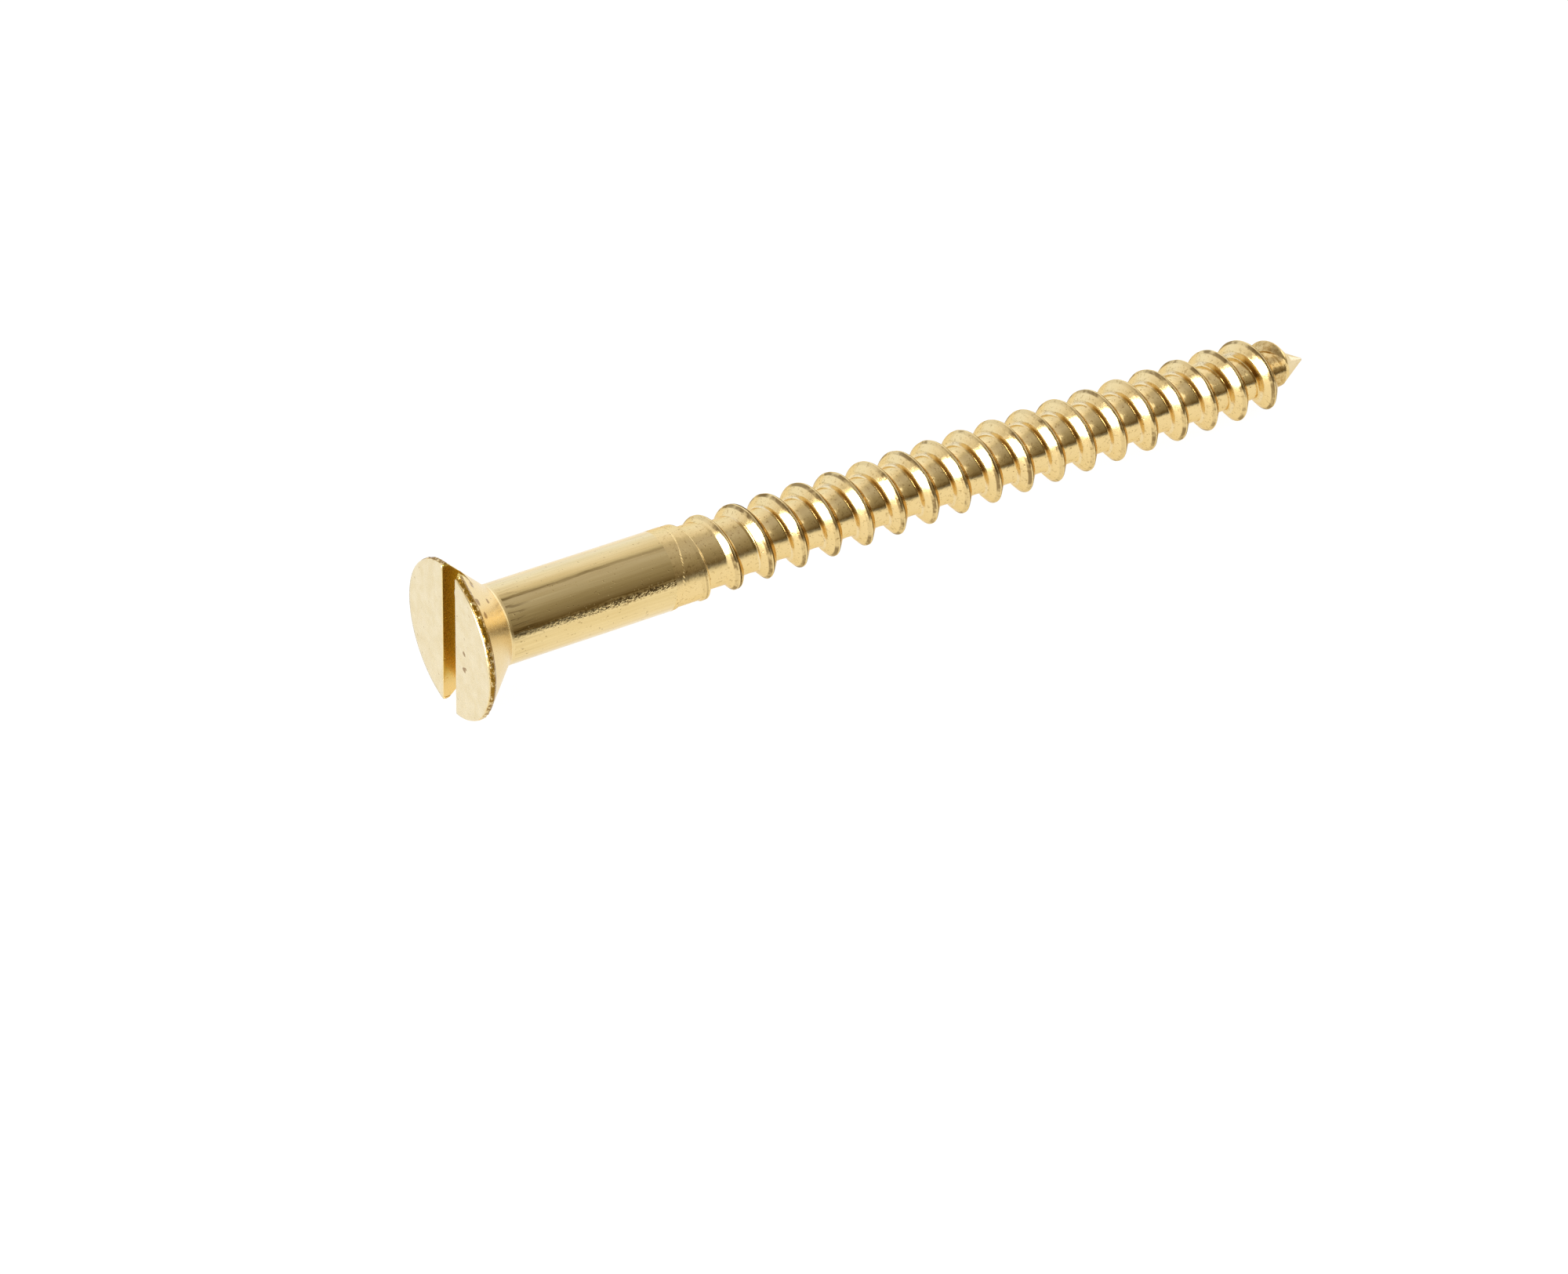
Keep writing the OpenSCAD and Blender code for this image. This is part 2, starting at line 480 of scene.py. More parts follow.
def raise_burrs(points):
    """Uneven slot walls, with a small burr on the face and a lip on the cone, both beside the slot."""
    x, y, z = points.T
    by_slot = (np.abs(y) < SLOT_HALF + 0.02) & (x < SLOT_DEPTH - 0.02)
    wall = by_slot * step(-x, -0.6, 0.0)
    points[:, 1] += wall * 0.006 * noise_2d(z / 0.35, x / 0.3 + 5, seed=24)
    burr = bump_at(z, BURR_Z, BURR_HALF) * (1 - step(x, 0.02, 0.16))
    burr = burr * (y < 0) * (np.abs(y) < SLOT_HALF + 0.05)
    points[:, 1] += 0.11 * burr
    points[:, 0] += 0.02 * burr
    lip = bump_at(y, LIP_Y, LIP_HALF) * (z > 3) * step(x, 0.08, 0.3) * (1 - step(x, 0.7, 0.98))
    points[:, 2] += lip * (0.20 + 0.05 * noise_2d(x / 0.13, y / 0.2, seed=25))
    points[:, 1] += lip * 0.12 * (y < -0.5)


def head_mesh():
    """The whole head: both slotted halves, the slot's floor, and the cone and neck below it."""
    skin = Skin()
    right_arc, right_foot = add_slotted_half(skin, 1)
    left_arc, left_foot = add_slotted_half(skin, -1)
    low_edge, high_edge = add_slot_floor(skin, right_foot, left_foot)
    ring = right_arc + low_edge + left_arc[::-1] + high_edge[::-1]
    for x, radius in lower_rows():
        lower = skin.add(lower_ring(x, radius))
        skin.band(ring, lower)
        ring = lower
    skin.faces.append(ring[::-1])

    points = np.array(skin.points)
    radius, angle = np.hypot(points[:, 1], points[:, 2]), np.arctan2(points[:, 2], points[:, 1])
    roll_edge(points, radius, angle)
    tear_rim(points, radius, angle)
    raise_burrs(points)
    points[:, 0] = np.maximum(points[:, 0], 0.0)
    mesh = mesh_from("screw_head", points, skin.faces, merge=1e-7)
    mesh.set_sharp_from_angle(angle=math.radians(SHARP_ABOVE))
    return mesh


# ---------------------------------------------------------------- shank


def shank_mesh():
    """The plain shank: a closed tube of rings with a flat cap at each end."""
    xs = np.linspace(HEAD_END, THREAD_START, SHANK_RINGS)
    angles = np.arange(SHANK_SIDES) / SHANK_SIDES * TAU
    x, angle = np.meshgrid(xs, angles, indexing="ij")
    skin = Skin()
    rings = [skin.add(ring) for ring in around_axis(x, shank_radius(x, angle), angle)]
    for near, far in zip(rings, rings[1:]):
        skin.band(near, far)
    skin.faces += [rings[0], rings[-1]]
    mesh = mesh_from("screw_shank", skin.points, skin.faces)
    set_exact_normals(mesh, shank_radius, (HEAD_END, THREAD_START))
    return mesh


# ---------------------------------------------------------------- thread and point


def ridge_phases():
    """Places across one pitch, closer together where the profile bends. A span has two ends and a number
    of steps."""
    spans = [(-0.5, -0.36, 5), (-0.36, -0.22, 8), (-0.22, -0.09, 6), (-0.09, 0.09, 12)]
    spans += [(0.09, 0.22, 5), (0.22, 0.36, 7), (0.36, 0.5, 4)]
    return np.concatenate([np.linspace(a, b, n, endpoint=False) for a, b, n in spans])


def thread_skin(from_x, to_x):
    """Helical strip of the thread's surface that more than covers the stretch between two distances. Each
    row runs across one pitch, and its end joins the start of the row that is one turn further on."""
    phases = ridge_phases()
    count = len(phases)
    first = int((from_x / PITCH - 1.2) * TURN_STEPS)
    last = int((min(to_x + 1.2 * PITCH, TIP_X + 0.9 * PITCH) / PITCH) * TURN_STEPS)
    turn, phase = np.meshgrid(np.arange(first, last + 1) / TURN_STEPS, phases, indexing="ij")
    x = (turn + phase) * PITCH
    angle = turn * TAU - math.radians(CREST_AHEAD)
    points = around_axis(x, thread_radius(x, angle), angle).reshape(-1, 3)
    rows = last - first + 1
    faces = []
    for i in range(rows - 1):
        near, far = i * count, (i + 1) * count
        for j in range(count - 1):
            faces.append([near + j, far + j, far + j + 1, near + j + 1])
        next_turn = (i + TURN_STEPS) * count
        if i + 1 + TURN_STEPS < rows:
            faces.append([near + count - 1, far + count - 1, next_turn + count, next_turn])
    return points, faces


def thread_mesh(name, from_x, to_x):
    """A stretch of the thread as a closed mesh."""
    points, faces = thread_skin(from_x, to_x)
    mesh = mesh_from(name, points, faces, span=(from_x, to_x), merge=2e-7)
    set_exact_normals(mesh, thread_radius, (from_x, to_x))
    return mesh


# ---------------------------------------------------------------- materials


def rgb(r, g, b):
    """An opaque colour."""
    return (r, g, b, 1.0)


# Pairs of colours that are mixed softly, and single ones for marks. Some are painted shade, painted
# highlights or painted reflections, as said at each.
FACE_BRASS = (rgb(0.755, 0.63, 0.375), rgb(0.815, 0.705, 0.47))
CONE_BRASS = (rgb(0.80, 0.60, 0.27), rgb(0.84, 0.66, 0.33))
SHANK_BRASS = (rgb(0.80, 0.61, 0.28), rgb(0.84, 0.66, 0.33))
THREAD_BRASS = (rgb(0.81, 0.60, 0.26), rgb(0.85, 0.65, 0.32))
# Slot brass with painted light: a dark colour for the top of the slot, as painted shade, and a light one for
# its low end, as a painted reflection of the floor
SLOT_SHADE_AND_SHEEN = (rgb(0.61, 0.44, 0.10), rgb(0.82, 0.57, 0.21))
POINT_PALE = rgb(0.76, 0.69, 0.53)
# Painted highlight at the foot of the flank, on its lit side
FOOT_HIGHLIGHT_PALE = rgb(0.93, 0.84, 0.62)
STREAK_TAN = rgb(0.60, 0.42, 0.15)
# Brown of the torn, grainy rim, also painted shade on the rim's upper side
RIM_TEAR_AND_SHADE_BROWN = rgb(0.30, 0.155, 0.015)
# Painted shade in the concave foot of the flank
FOOT_SHADE_BROWN = rgb(0.38, 0.22, 0.045)
# Painted reflection: dark line along the upper edge of the dark band that the shank reflects
REFLECTION_EDGE_BROWN = rgb(0.30, 0.20, 0.07)
# Brown of scratches in the last groove, also painted shade in that recess
LAST_TURN_SHADE_BROWN = rgb(0.40, 0.24, 0.07)
# Brown of scrape marks by the neck, also painted shade on the side that reflects the dark surroundings
SCRAPE_AND_SHADE_BROWN = rgb(0.24, 0.15, 0.05)
MARK_BROWN = rgb(0.28, 0.15, 0.04)
# Brown of bumpy beads, which also paint the dark reflected horizon line on the shank
BEAD_AND_REFLECTION_BROWN = rgb(0.22, 0.13, 0.04)
SPECK_BROWN = rgb(0.42, 0.27, 0.09)
HEAD_PITS = rgb(0.38, 0.24, 0.09)
SHANK_PITS = rgb(0.35, 0.23, 0.08)
THREAD_PITS = rgb(0.30, 0.17, 0.05)
# Painted shade: dark lines along the crest's edges
CREST_SHADE_LINE = rgb(0.14, 0.075, 0.02)
WHITE = rgb(1, 1, 1)

# Bands in degrees around the shank: where each one starts, is full, is no longer full, and ends
# Painted reflection: the dark line along the upper edge of the reflected dark band
REFLECTION_EDGE_BAND = (105.5, 108.5, 110.0, 112.5)
# Where the shank reflects the horizon as a dark line, painted with dark beads
HORIZON_LINE_BAND = (156, 161, 167, 172)
# The side of the shank that reflects the dark surroundings, where scrape marks are painted darker as painted
# shade
DARK_SIDE = (98, 106, 166, 174)

# Bands in pitches from the crest, given in the same way
# Painted shade: the dark lines along the crest, towards the point and towards the head
LINE_AHEAD = (0.015, 0.03, 0.07, 0.09)
LINE_BEHIND = (-0.11, -0.08, -0.03, 0.0)
# Painted shade at the foot of the flank towards the head, and a narrower painted highlight inside it
DARK_FOOT = (-0.325, -0.29, -0.245, -0.225)
PALE_FOOT = (-0.285, -0.265, -0.25, -0.235)

# Marks on the face and the cone, in millimetres: x, y, z and radius
HEAD_MARKS = [
    (0, -1.55, 0.2, 0.10),
    (0, -1.55, -0.75, 0.13),
    (0, -1.72, -0.62, 0.06),
    (0.8, -0.8, 3.48, 0.17),
    (0.55, -1.9, 3.28, 0.18),
    (0.7, -2.4, 2.8, 0.15),
    (1.4, -1.3, 2.66, 0.13),
]


class Nodes:
    """Short calls for building a material's nodes. Most of them return the new node's output."""

    def __init__(self, tree):
        self.tree = tree

    def add(self, kind, inputs=None, **settings):
        """A new node with its inputs linked or set."""
        node = self.tree.nodes.new(kind)
        for key, value in settings.items():
            setattr(node, key, value)
        for key, value in (inputs or {}).items():
            self.feed(node.inputs[key], value)
        return node

    def feed(self, socket, value):
        """Links an output to an input, or sets the input to a value."""
        if isinstance(value, bpy.types.NodeSocket):
            self.tree.links.new(value, socket)
        else:
            socket.default_value = value

    def math(self, operation, a, b=0.0, clamp=False):
        """One step of arithmetic."""
        return self.add("ShaderNodeMath", {0: a, 1: b}, operation=operation, use_clamp=clamp).outputs[0]

    def product(self, *factors):
        """All the factors multiplied together, from the first to the last."""
        result = factors[0]
        for factor in factors[1:]:
            result = self.math("MULTIPLY", result, factor)
        return result

    def total(self, *terms):
        """All the terms added together, from the first to the last."""
        result = terms[0]
        for term in terms[1:]:
            result = self.math("ADD", result, term)
        return result

    def range(self, value, low, high, to_low=0.0, to_high=1.0):
        """A soft step between two places, which may run either way."""
        inputs = {"Value": value, "From Min": low, "From Max": high, "To Min": to_low, "To Max": to_high}
        return self.add("ShaderNodeMapRange", inputs, interpolation_type="SMOOTHSTEP").outputs[0]

    def range_mm(self, value, low, high, to_low=0.0, to_high=1.0):
        """A soft step between two places in millimetres, over a value in metres."""
        return self.range(value, low * MM, high * MM, to_low, to_high)

    def band(self, value, low, full_from, full_to, high):
        """1 between the two inner places, falling to 0 at the outer ones."""
        return self.product(self.range(value, low, full_from), self.range(value, high, full_to))

    def mix(self, factor, a, b):
        """One colour mixed with another. A Mix node's colour sockets share their names with others, so they
        are picked by number."""
        node = self.add("ShaderNodeMix", data_type="RGBA")
        for socket, value in ((node.inputs[0], factor), (node.inputs[6], a), (node.inputs[7], b)):
            self.feed(socket, value)
        return node.outputs[2]

    def noise(self, place, scale, detail=3.0, roughness=0.55, stretch=(1, 1, 1)):
        """Noise over the place in millimetres, with each axis scaled first."""
        spot = self.vector("MULTIPLY", place, tuple(f / MM for f in stretch)).outputs[0]
        inputs = {"Vector": spot, "Scale": scale, "Detail": detail, "Roughness": roughness}
        return self.add("ShaderNodeTexNoise", inputs).outputs[0]

    def vector(self, operation, a, b):
        """A new node for one step with vectors."""
        return self.add("ShaderNodeVectorMath", {0: a, 1: b}, operation=operation)

    def xyz(self, place):
        """The place's three coordinates, in metres."""
        return self.add("ShaderNodeSeparateXYZ", {0: place}).outputs


def find_node(tree, kind):
    """The first node of a type."""
    return next(x for x in tree.nodes if x.type == kind)


def brass_material(name, recipe):
    """A metallic material. The recipe gives colour, roughness, height, and the height's size in
    millimetres."""
    mat = bpy.data.materials.new(name)
    mat.use_nodes = True
    n = Nodes(mat.node_tree)
    shader = find_node(mat.node_tree, "BSDF_PRINCIPLED")
    shader.inputs["Metallic"].default_value = 1.0
    place = n.add("ShaderNodeTexCoord").outputs["Object"]
    colour, roughness, height, depth = recipe(n, place)
    bump = n.add("ShaderNodeBump", {"Strength": 1.0, "Distance": depth * MM, "Height": height})
    n.feed(shader.inputs["Base Color"], colour)
    n.feed(shader.inputs["Roughness"], roughness)
    n.feed(shader.inputs["Normal"], bump.outputs[0])
    return mat


def radius_of(n, place):
    """Distance from the axis, in metres."""
    flat = n.vector("MULTIPLY", place, (0.0, 1.0, 1.0)).outputs[0]
    return n.add("ShaderNodeVectorMath", {0: flat}, operation="LENGTH").outputs["Value"]


def add_head_marks(n, place, grain, colour):
    """Small dark marks with wavy outlines."""
    for x, y, z, size in HEAD_MARKS:
        away = n.vector("DISTANCE", place, (x * MM, y * MM, z * MM)).outputs["Value"]
        wavy = n.total(away, n.product(grain, 0.3 * MM))
        mark = n.range_mm(wavy, size + 0.19, size + 0.13)
        colour = n.mix(n.product(mark, 0.85), colour, MARK_BROWN)
    return colour


def slot_mask(n, x, y):
    """1 on the slot's walls and floor."""
    walls = n.range_mm(n.math("ABSOLUTE", y), SLOT_HALF + 0.02, SLOT_HALF + 0.008)
    below_face = n.range_mm(x, 0.02, 0.06)
    above_floor = n.range_mm(x, SLOT_DEPTH + 0.02, SLOT_DEPTH + 0.01)
    return n.product(walls, below_face, above_floor)


def head_recipe(n, place):
    """Pale grained face, warmer cone, torn brown rim with painted shade on its upper side, golden slot with
    painted shade at its top and a painted reflection at its low end, and a few dark marks.
    """
    x, y, z = n.xyz(place)
    grain = n.noise(place, 6.0, 4.0, 0.65)
    patches = n.noise(place, 1.4, 5.0, 0.65)
    pit = n.range(n.noise(place, 4.2, 2.0, 0.5), 0.68, 0.76)
    face = n.mix(n.range(patches, 0.3, 0.7), *FACE_BRASS)
    colour = n.mix(n.range_mm(x, 0.05, 0.0), n.mix(patches, *CONE_BRASS), face)
    colour = n.mix(n.product(pit, 0.6), colour, HEAD_PITS)

    outermost = n.range_mm(radius_of(n, place), 3.90, 3.96)
    on_rim = n.product(outermost, n.range_mm(x, 0.45, 0.36), n.range_mm(x, 0.06, 0.10))
    torn = n.range(n.noise(place, 5.0, 3.0, 0.6), 0.62, 0.52, 0.15, 1.0)
    # Painted shade: the rim's brown is full on its upper side and fades to a trace towards the bottom
    torn = n.product(torn, n.range_mm(z, -2.8, -1.8, 0.15, 1.0))
    colour = n.mix(n.product(on_rim, torn), colour, RIM_TEAR_AND_SHADE_BROWN)

    # Painted shade and painted reflection in the slot: darker towards its top, lighter towards its low end
    painted_slot_light = n.range_mm(z, -2.0, -3.3)
    colour = n.mix(slot_mask(n, x, y), colour, n.mix(painted_slot_light, *SLOT_SHADE_AND_SHEEN))
    colour = add_head_marks(n, place, grain, colour)

    rough = n.range(grain, 0.3, 0.7, 0.24, 0.32)
    fine = n.product(grain, n.range_mm(x, 0.0, 0.05, 0.16, 0.3))
    height = n.total(fine, n.product(pit, -1.2), n.product(grain, on_rim, 11.0))
    return colour, rough, height, 0.006


def shank_recipe(n, place):
    """Brass drawn along the axis, with a dark streak, a dark line painted along the upper edge of the
    reflected dark band, scrape marks by the neck painted much darker on the side that reflects the dark
    surroundings, and a strip of pits painted dark where the shank reflects the horizon.
    """
    x, y, z = n.xyz(place)
    drawn = n.noise(place, 1.0, 4.0, 0.6, stretch=(0.22, 7, 7))
    soft = n.noise(place, 1.0, stretch=(0.5, 1.2, 1.2))
    pit = n.range(n.noise(place, 6.5, 2.0, 0.5), 0.65, 0.73)
    colour = n.mix(soft, *SHANK_BRASS)
    colour = n.mix(n.product(pit, 0.6), colour, SHANK_PITS)
    streak = n.range(n.noise(place, 1.0, 3.0, 0.6, stretch=(0.12, 5, 5)), 0.35, 0.65)
    colour = n.mix(n.product(streak, 0.3), colour, STREAK_TAN)

    turn = n.product(n.math("ARCTAN2", z, y), 360 / TAU)
    turn = n.total(turn, n.product(n.math("SUBTRACT", soft, 0.5), 9.0))
    # Painted reflection: a wavy dark line along the upper edge of the dark band that the shank reflects,
    # strongest near the head
    painted_reflection_edge = n.product(n.band(turn, *REFLECTION_EDGE_BAND), n.range(drawn, 0.35, 0.55, 0.4, 0.95))
    painted_reflection_edge = n.product(painted_reflection_edge, n.range_mm(x, 10.0, 6.0, 0.4, 1.0))
    colour = n.mix(painted_reflection_edge, colour, REFLECTION_EDGE_BROWN)

    scrapes_and_shade = n.range(n.noise(place, 1.0, 3.0, 0.6, stretch=(0.45, 8, 8)), 0.52, 0.62, 0.0, 0.65)
    # Scrape marks by the neck, painted much darker on the side that reflects the dark surroundings: painted
    # shade
    on_dark_side = n.total(n.product(n.band(turn, *DARK_SIDE), 0.75), 0.2)
    scrapes_and_shade = n.product(scrapes_and_shade, n.range_mm(x, 4.2, 2.7), on_dark_side)
    colour = n.mix(scrapes_and_shade, colour, SCRAPE_AND_SHADE_BROWN)

    # Painted reflection: a strip of bumpy pits painted dark brown where the shank reflects the horizon as a
    # dark line
    pits_and_dark_line = n.product(n.band(turn, *HORIZON_LINE_BAND), n.range_mm(x, 3.0, 9.5, 0.3, 1.0))
    beads = n.noise(place, 8.0, 1.0, 0.5)
    colour = n.mix(n.product(pits_and_dark_line, n.range(beads, 0.50, 0.42, 0.0, 0.8)), colour, BEAD_AND_REFLECTION_BROWN)

    rough = n.range(drawn, 0.3, 0.7, 0.07, 0.14)
    height = n.total(drawn, n.product(pit, -1.0), n.product(pits_and_dark_line, beads, 9.0))
    return colour, rough, height, 0.004


def helix_phase_of(n, place):
    """Distance from the nearest crest in pitches, as in helix_phase. Ten pitches more keep it above 0 until
    its whole part is dropped."""
    x, y, z = n.xyz(place)
    turn = n.math("DIVIDE", n.math("ARCTAN2", z, y), TAU)
    pitches = n.math("SUBTRACT", n.math("DIVIDE", x, PITCH * MM), turn)
    part = n.math("FRACT", n.total(pitches, 10.5 - CREST_AHEAD / 360))
    return n.math("SUBTRACT", part, 0.5)


def crest_lines(n, place, phase, radius):
    """Masks for painted shade along the crest, dark lines where its edges reflect the dark surroundings: the
    one towards the point, broken up by noise, and the one towards the head, which only shows where patchy
    noise, and a patch on the upper side near the start, let it through."""
    x, y, z = n.xyz(place)
    high = n.product(n.range_mm(radius, 1.5, 1.8), n.range_mm(x, 12.6, 14.0))
    near_start = n.product(n.range_mm(x, 15.4, 16.4), n.range_mm(x, 23, 19))
    shade_patches = n.range(n.noise(place, 0.9, 3.0, 0.6), 0.46, 0.6, 0.12, 0.6)
    ahead_strength = n.range(n.noise(place, 4.0, 2.0), 0.35, 0.6, 0.6, 0.95)
    ahead_strength = n.math("ADD", ahead_strength, n.math("MAXIMUM", shade_patches, n.product(near_start, 0.4)), clamp=True)
    ahead = n.product(n.band(phase, *LINE_AHEAD), high, ahead_strength)

    upper = n.product(n.range_mm(z, 1.2, 1.7), n.range_mm(y, 0.3, 0.8))
    shade_patches = n.math("MAXIMUM", shade_patches, n.product(upper, near_start, 0.7))
    behind = n.product(n.band(phase, *LINE_BEHIND), high)
    return ahead, n.math("MULTIPLY", behind, n.product(shade_patches, 1.3), clamp=True)


def foot_tints(n, place, phase):
    """Masks for the foot of the flank towards the head: painted shade as a dark line on the shaded side, and
    a narrower, paler painted highlight elsewhere."""
    x, y, z = n.xyz(place)
    past_start = n.range_mm(x, 15.0, 16.0)
    in_shade = n.product(n.range_mm(y, 0.0, -0.35), n.range_mm(z, 0.4, 0.75))
    in_light = n.math("SUBTRACT", 1.0, in_shade)
    dark = n.product(n.band(phase, *DARK_FOOT), past_start)
    pale = n.product(n.band(phase, *PALE_FOOT), past_start)
    return n.product(dark, n.product(in_shade, 0.7)), n.product(pale, n.product(in_light, 0.3))


def thread_recipe(n, place):
    """Cut brass with specks; painted shade in dark lines along the crest and at the foot of the flank, with a
    painted highlight beside that foot; brown scratches with painted shade in the last groove; and a paler
    point.
    """
    x = n.xyz(place)[0]
    radius = radius_of(n, place)
    phase = helix_phase_of(n, place)
    grain = n.noise(place, 5.0, 4.0, 0.6)
    soft = n.noise(place, 1.0, stretch=(0.9, 1.3, 1.3))
    pit = n.range(n.noise(place, 5.5, 2.0, 0.5), 0.68, 0.76)
    speck = n.range(n.noise(place, 6.0, 3.0, 0.6), 0.56, 0.68, 0.0, 0.55)
    line_ahead, line_behind = crest_lines(n, place, phase, radius)
    painted_foot_shade, painted_foot_highlight = foot_tints(n, place, phase)
    # Brown scratches and painted shade in the groove of the last turn, broken up by grain
    last_turn = n.product(n.range_mm(radius, 1.75, 1.5), n.range_mm(x, 47.5, 48.1))
    last_turn = n.product(last_turn, n.range_mm(x, 49.15, 49.0), n.range(grain, 0.35, 0.6, 0.85, 0.35))
    at_point = n.range_mm(x, 49.25, 49.5, 0.0, 0.55)

    colour = n.mix(soft, *THREAD_BRASS)
    colour = n.mix(n.product(pit, 0.75), colour, THREAD_PITS)
    colour = n.mix(speck, colour, SPECK_BROWN)
    # Painted shade at the foot of the flank, and a painted highlight at that foot on the lit side
    colour = n.mix(painted_foot_shade, colour, FOOT_SHADE_BROWN)
    colour = n.mix(painted_foot_highlight, colour, FOOT_HIGHLIGHT_PALE)
    # Painted shade along the crest, towards the head here and towards the point further down
    colour = n.mix(line_behind, colour, CREST_SHADE_LINE)
    colour = n.mix(last_turn, colour, LAST_TURN_SHADE_BROWN)
    colour = n.mix(at_point, colour, POINT_PALE)
    colour = n.mix(line_ahead, colour, CREST_SHADE_LINE)

    in_groove = n.range_mm(radius, 1.46, 1.38)
    rough = n.math("SUBTRACT", n.range(grain, 0.3, 0.7, 0.19, 0.26), n.product(in_groove, 0.08))
    turned = n.noise(place, 1.0, 4.0, 0.6, stretch=(9, 0.8, 0.8))
    lined = n.product(turned, n.range_mm(radius, 1.6, 1.9, 0.9, 2.0))
    dents = n.noise(place, 2.2, 2.0, 0.5)
    height = n.total(lined, n.product(grain, 0.4), n.product(dents, 3.0), n.product(pit, -1.2))
    return colour, rough, height, 0.0035


# ---------------------------------------------------------------- the pieces


def put_piece(name, mesh, nodes, material):
    """A piece in place of its CAD nodes, on the part's one rigid body."""
    obj = new_object(name, mesh)
    mesh.materials.append(material)
    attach(obj, "root")
    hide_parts(*nodes)
    return obj


head_brass = brass_material("head_brass", head_recipe)
shank_brass = brass_material("shank_brass", shank_recipe)
thread_brass = brass_material("thread_brass", thread_recipe)
thread_shader = find_node(thread_brass.node_tree, "BSDF_PRINCIPLED")
thread_shader.inputs["Specular Tint"].default_value = rgb(0.90, 0.80, 0.60)

thread = thread_mesh("screw_thread", THREAD_START, TAPER_X)
point = thread_mesh("screw_point", TAPER_X, TIP_X - TIP_GAP)
put_piece("screw_head", head_mesh(), ["countersunk_head"], head_brass)
put_piece("screw_shank", shank_mesh(), ["plain_shank"], shank_brass)
put_piece("screw_thread", thread, ["threaded_shank"], thread_brass)
put_piece("screw_point", point, ["gimlet_point"], thread_brass)


# ---------------------------------------------------------------- floor, light and camera

# The screw rests on the lowest part of its head and on its last full crest, so it lies at a slight slope.
HEAD_DROP = -HEAD_LOW[2]
REST_SPAN = 46.6
TILT = math.asin((HEAD_DROP - SHANK_R) / REST_SPAN)
FLOOR_AXES = Matrix(
    (
        (math.cos(TILT), 0, -math.sin(TILT)),
        (0, 1, 0),
        (math.sin(TILT), 0, math.cos(TILT)),
    )
)
FLOOR_Z = -(math.sin(TILT) * RIM_H + math.cos(TILT) * HEAD_DROP)
FLOOR_HALF = 3000

# How bright the floor is to the camera
FLOOR_SEEN = 0.93

# Camera, fitted to the photo: its direction from the aim in degrees, its distance, the aim on the floor, the
# sensor and lens in millimetres, and the clip distances in metres
CAMERA_AZIMUTH = -121.7445
CAMERA_ELEVATION = 38.1961
CAMERA_DISTANCE = 213.749
CAMERA_AIM = (16.401, -3.779)
CAMERA_SENSOR = 36
CAMERA_LENS = 100
CAMERA_CLIP = (0.001, 20)

# Surroundings by half turns around X: the camera's side at 0, the top at 0.5, the far side at 1
SKY = [
    (0.0, (0.10, 0.07, 0.03)),
    (0.04, (0.13, 0.095, 0.045)),
    (0.096, (0.235, 0.20, 0.145)),
    (0.207, (0.32, 0.29, 0.23)),
    (0.318, (0.44, 0.415, 0.375)),
    (0.43, (0.57, 0.56, 0.57)),
    (0.53, (0.56, 0.54, 0.55)),
    (0.60, (0.64, 0.62, 0.58)),
    (0.65, (0.88, 0.86, 0.86)),
    (0.76, (1.0, 1.03, 1.15)),
    (0.87, (1.05, 1.15, 1.4)),
]


def from_floor(x, y, z):
    """A point given in millimetres along the floor's own axes, in metres in the row frame."""
    return FLOOR_AXES @ Vector((x, y, z)) * MM


def make_floor():
    """A white floor that glows by itself. Its glow fades in front of the screw, except for the camera."""
    corners = [(-1, -1), (1, -1), (1, 1), (-1, 1)]
    mesh = bpy.data.meshes.new("floor")
    points = [from_floor(x * FLOOR_HALF, y * FLOOR_HALF, FLOOR_Z) for x, y in corners]
    mesh.from_pydata(points, [], [[0, 1, 2, 3]])
    floor = new_object("floor", mesh)
    mat = bpy.data.materials.new("floor_white")
    mat.use_nodes = True
    shader = find_node(mat.node_tree, "BSDF_PRINCIPLED")
    shader.inputs["Base Color"].default_value = rgb(0.1, 0.1, 0.1)
    shader.inputs["Roughness"].default_value = 0.9
    shader.inputs["Specular IOR Level"].default_value = 0.1
    shader.inputs["Emission Color"].default_value = WHITE
    n = Nodes(mat.node_tree)
    y = n.xyz(n.add("ShaderNodeTexCoord").outputs["Object"])[1]
    glow = n.range_mm(y, -34, -8, 0.08, 0.95)
    seen = n.add("ShaderNodeLightPath").outputs["Is Camera Ray"]
    n.feed(shader.inputs["Emission Strength"], n.math("MAXIMUM", glow, n.product(seen, FLOOR_SEEN)))
    mesh.materials.append(mat)


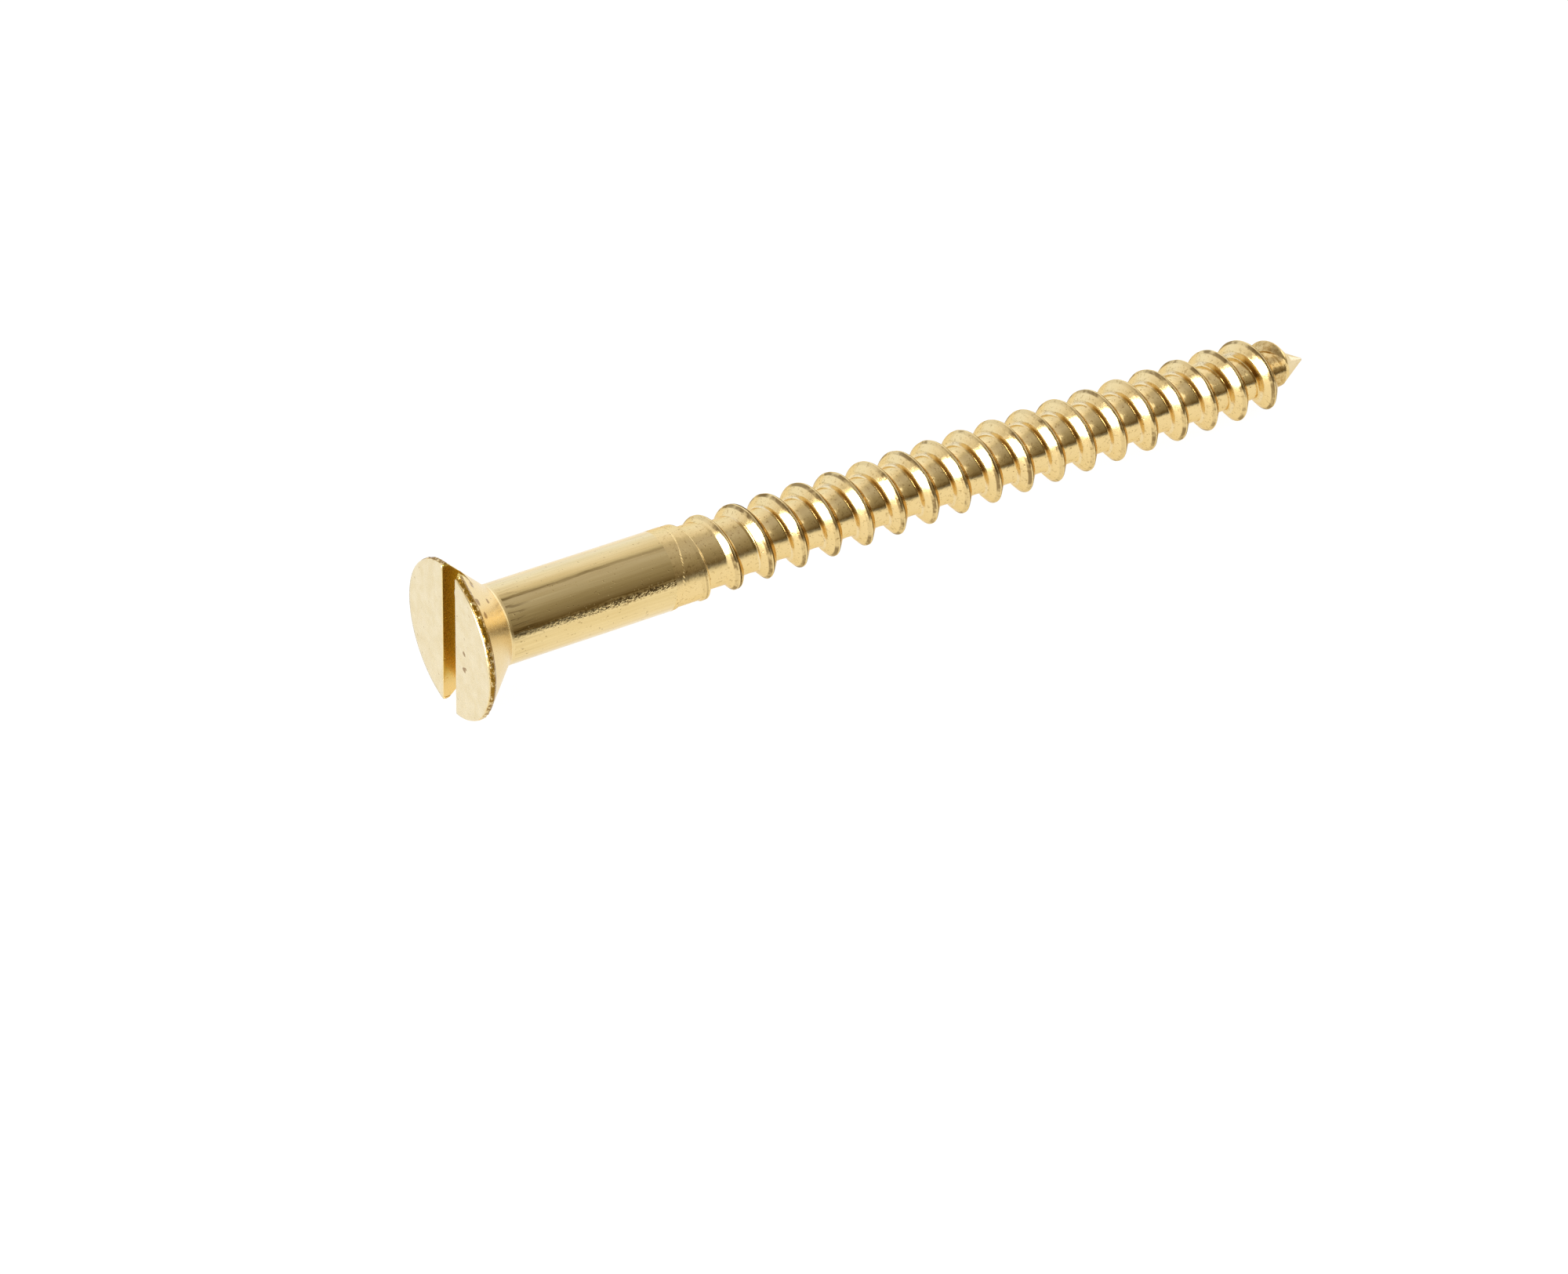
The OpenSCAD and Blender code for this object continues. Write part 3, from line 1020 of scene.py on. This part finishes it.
def make_world():
    """Soft studio surroundings: bright behind and beyond the point, grey overhead, dark low in front. The
    camera itself sees white."""
    world = bpy.data.worlds.new("studio")
    bpy.context.scene.world = world
    world.use_nodes = True
    n = Nodes(world.node_tree)
    x, y, z = n.xyz(n.add("ShaderNodeTexCoord").outputs["Generated"])
    turn = n.math("ARCTAN2", z, n.product(y, -1.0))
    ramp = n.add("ShaderNodeValToRGB", {0: n.math("DIVIDE", turn, math.pi)})
    elements = ramp.color_ramp.elements
    while len(elements) < len(SKY):
        elements.new(0.5)
    for element, (position, value) in zip(elements, SKY):
        element.position = position
        element.color = rgb(*value)
    brighter = n.range(x, 0.44, 0.75, 1.0, 1.4)
    lit = n.add("ShaderNodeVectorMath", {0: ramp.outputs[0], "Scale": brighter}, operation="SCALE").outputs[0]
    seen = n.add("ShaderNodeLightPath").outputs["Is Camera Ray"]
    background = find_node(world.node_tree, "BACKGROUND")
    n.feed(background.inputs["Color"], n.mix(seen, lit, WHITE))


def make_card(name, centre, target, width, height, radiance):
    """A soft rectangular light. Its radiance is how bright it looks in a reflection."""
    data = bpy.data.lights.new(name, "AREA")
    data.shape = "RECTANGLE"
    data.size, data.size_y = width * MM, height * MM
    data.energy = radiance * math.pi * data.size * data.size_y
    lamp = new_object(name, data)
    place = from_floor(*centre)
    lamp.location = place
    lamp.rotation_euler = (from_floor(*target) - place).to_track_quat("-Z", "Y").to_euler()


def make_camera():
    """The photo's camera, level with the floor."""
    data = bpy.data.cameras.new("camera")
    data.sensor_width = CAMERA_SENSOR
    data.sensor_fit = "HORIZONTAL"
    data.lens = CAMERA_LENS
    data.clip_start, data.clip_end = CAMERA_CLIP
    camera = new_object("camera", data)
    azimuth, elevation = math.radians(CAMERA_AZIMUTH), math.radians(CAMERA_ELEVATION)
    level = math.cos(elevation)
    back = Vector((level * math.cos(azimuth), level * math.sin(azimuth), math.sin(elevation)))
    side = Vector((0, 0, 1)).cross(back).normalized()
    turn = FLOOR_AXES @ Matrix((side, back.cross(side), back)).transposed()
    place = FLOOR_AXES @ (Vector((*CAMERA_AIM, FLOOR_Z)) + back * CAMERA_DISTANCE) * MM
    camera.matrix_world = Matrix.LocRotScale(place, turn.to_quaternion(), None)
    bpy.context.scene.camera = camera


make_floor()
make_world()
make_card("left_card", (-420, -160, 110), (20, 0, 0), 250, 260, 18.0)
make_card("right_card", (420, -110, 180), (20, 0, 0), 300, 200, 0.9)
make_camera()
bpy.context.scene.view_settings.view_transform = "Standard"
